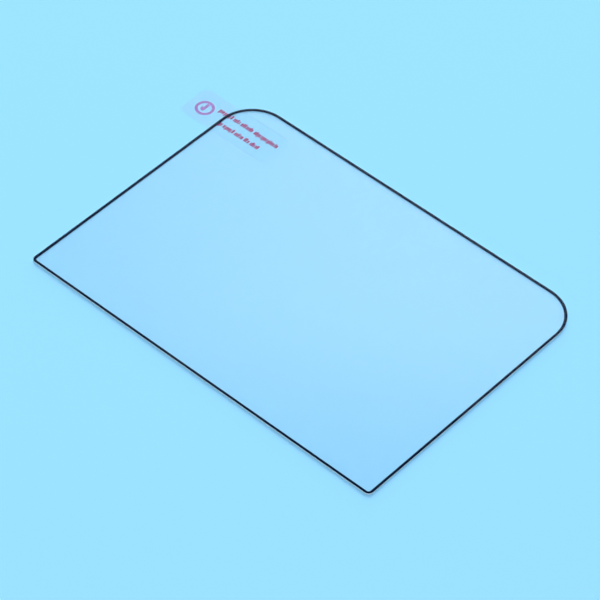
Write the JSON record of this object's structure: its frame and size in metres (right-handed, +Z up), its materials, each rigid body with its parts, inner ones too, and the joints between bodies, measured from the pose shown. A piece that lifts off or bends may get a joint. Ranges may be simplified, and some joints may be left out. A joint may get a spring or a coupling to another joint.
{
  "type": "phone screen protector",
  "caption": "Flat tempered glass screen protector for a wide phone display, with a printed dark border, clear adhesive, a release liner and a tab that pulls the liner off.",
  "frame": {"origin": "middle of the glass outline, on the plane that the liner rests on", "axes": "+X along the long sides, away from the pull tab; +Y across, towards the long side with the large corners; +Z up, out of the front of the glass"},
  "size_m": [0.1346, 0.088, 0.0006],
  "materials": {
    "glass": "polished tempered glass",
    "border_ink": "screen-printed black ink",
    "adhesive": "clear silicone adhesive",
    "liner_film": "clear polyester film",
    "tab_film": "clear polyester film",
    "tab_print": "screen-printed red ink"
  },
  "bodies": {
    "root": {"glass_pane": "glass", "black_border": "border_ink", "adhesive_layer": "adhesive", "release_liner": "liner_film", "pull_tab": "tab_film"}
  },
  "joints": []
}
